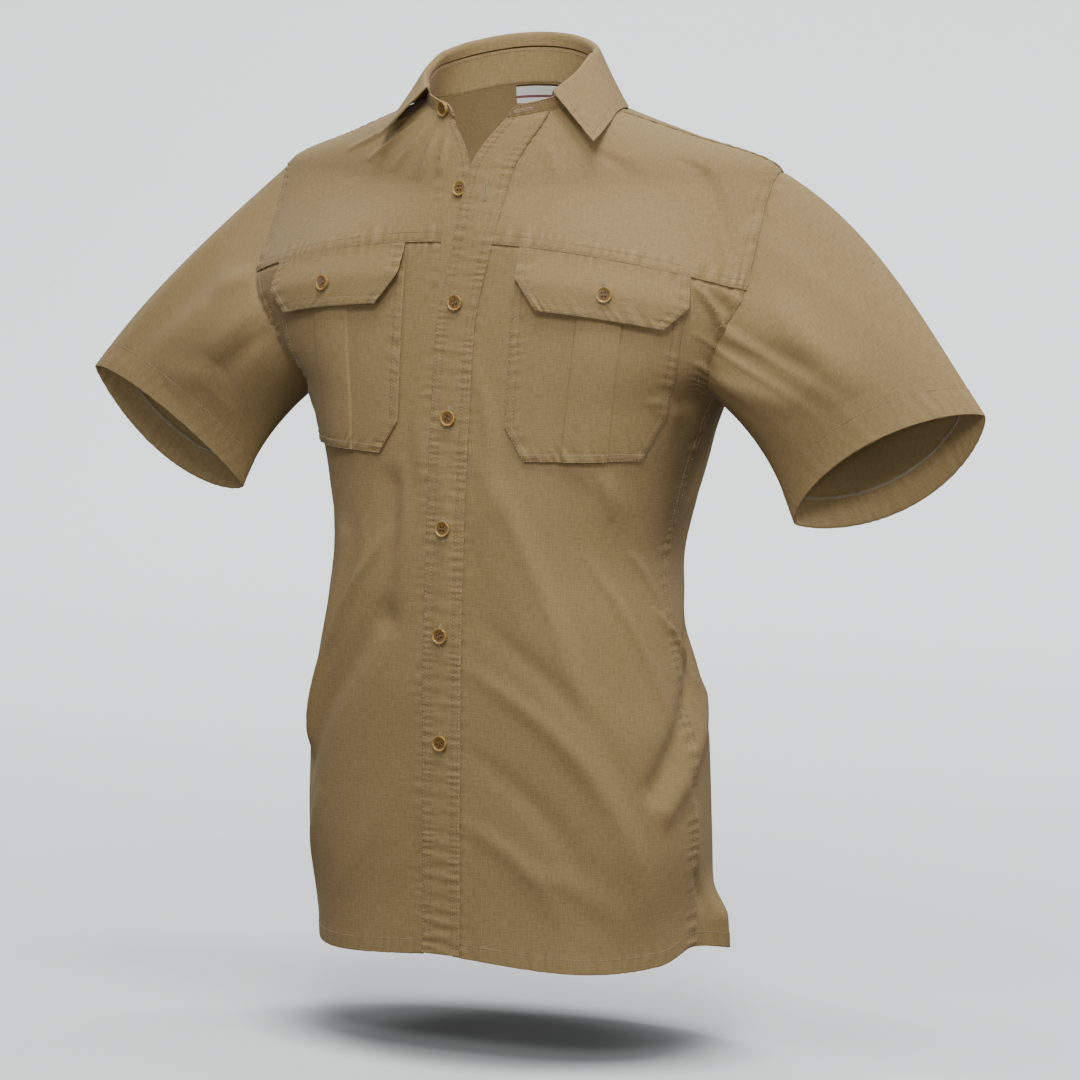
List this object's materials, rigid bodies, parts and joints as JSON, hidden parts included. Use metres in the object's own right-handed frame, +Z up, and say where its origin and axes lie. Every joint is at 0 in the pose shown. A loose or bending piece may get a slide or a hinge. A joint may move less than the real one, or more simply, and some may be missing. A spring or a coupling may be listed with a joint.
{
  "type": "short-sleeved button-down shirt",
  "caption": "Short-sleeved field shirt, filled out with no wearer: turned-down collar open at the neck, yoke, buttoned placket, and chest pockets with flaps and a raised pleat.",
  "frame": {"origin": "middle of the neck, level with the top of the shoulders, where the wearer holds the shirt up", "axes": "+X towards the wearer's left, sleeve hem to sleeve hem; the front faces -Y; +Z up"},
  "size_m": [0.8517, 0.3, 0.7922],
  "materials": {
    "front_left": "khaki cotton ripstop, slight sheen",
    "front_right": "khaki cotton ripstop, slight sheen",
    "front_yoke_left": "khaki cotton ripstop, slight sheen",
    "front_yoke_right": "khaki cotton ripstop, slight sheen",
    "back": "khaki cotton ripstop, slight sheen",
    "back_yoke": "khaki cotton ripstop, slight sheen",
    "sleeve_left": "khaki cotton ripstop, slight sheen",
    "sleeve_right": "khaki cotton ripstop, slight sheen",
    "placket_left": "khaki cotton ripstop, slight sheen",
    "placket_right": "khaki cotton ripstop, slight sheen",
    "pocket_left": "khaki cotton ripstop, slight sheen",
    "pocket_right": "khaki cotton ripstop, slight sheen",
    "flap_left": "khaki cotton ripstop, slight sheen",
    "flap_right": "khaki cotton ripstop, slight sheen",
    "collar_stand": "khaki cotton ripstop, slight sheen",
    "collar_leaf": "khaki cotton ripstop, slight sheen",
    "neck_label": "smooth woven tape, blank",
    "button_front_1": "horn-like brown, polished",
    "button_front_2": "horn-like brown, polished",
    "button_front_3": "horn-like brown, polished",
    "button_front_4": "horn-like brown, polished",
    "button_front_5": "horn-like brown, polished",
    "button_front_6": "horn-like brown, polished",
    "button_pocket_left": "horn-like brown, polished",
    "button_pocket_right": "horn-like brown, polished",
    "button_stand": "horn-like brown, polished"
  },
  "bodies": {
    "root": {"front_left": "front_left", "front_right": "front_right", "front_yoke_left": "front_yoke_left", "front_yoke_right": "front_yoke_right", "back": "back", "back_yoke": "back_yoke", "sleeve_left": "sleeve_left", "sleeve_right": "sleeve_right", "placket_left": "placket_left", "placket_right": "placket_right", "pocket_left": "pocket_left", "pocket_right": "pocket_right", "flap_left": "flap_left", "flap_right": "flap_right", "collar_stand": "collar_stand", "collar_leaf": "collar_leaf", "neck_label": "neck_label", "button_front_1": "button_front_1", "button_front_2": "button_front_2", "button_front_3": "button_front_3", "button_front_4": "button_front_4", "button_front_5": "button_front_5", "button_front_6": "button_front_6", "button_pocket_left": "button_pocket_left", "button_pocket_right": "button_pocket_right", "button_stand": "button_stand"}
  },
  "joints": []
}
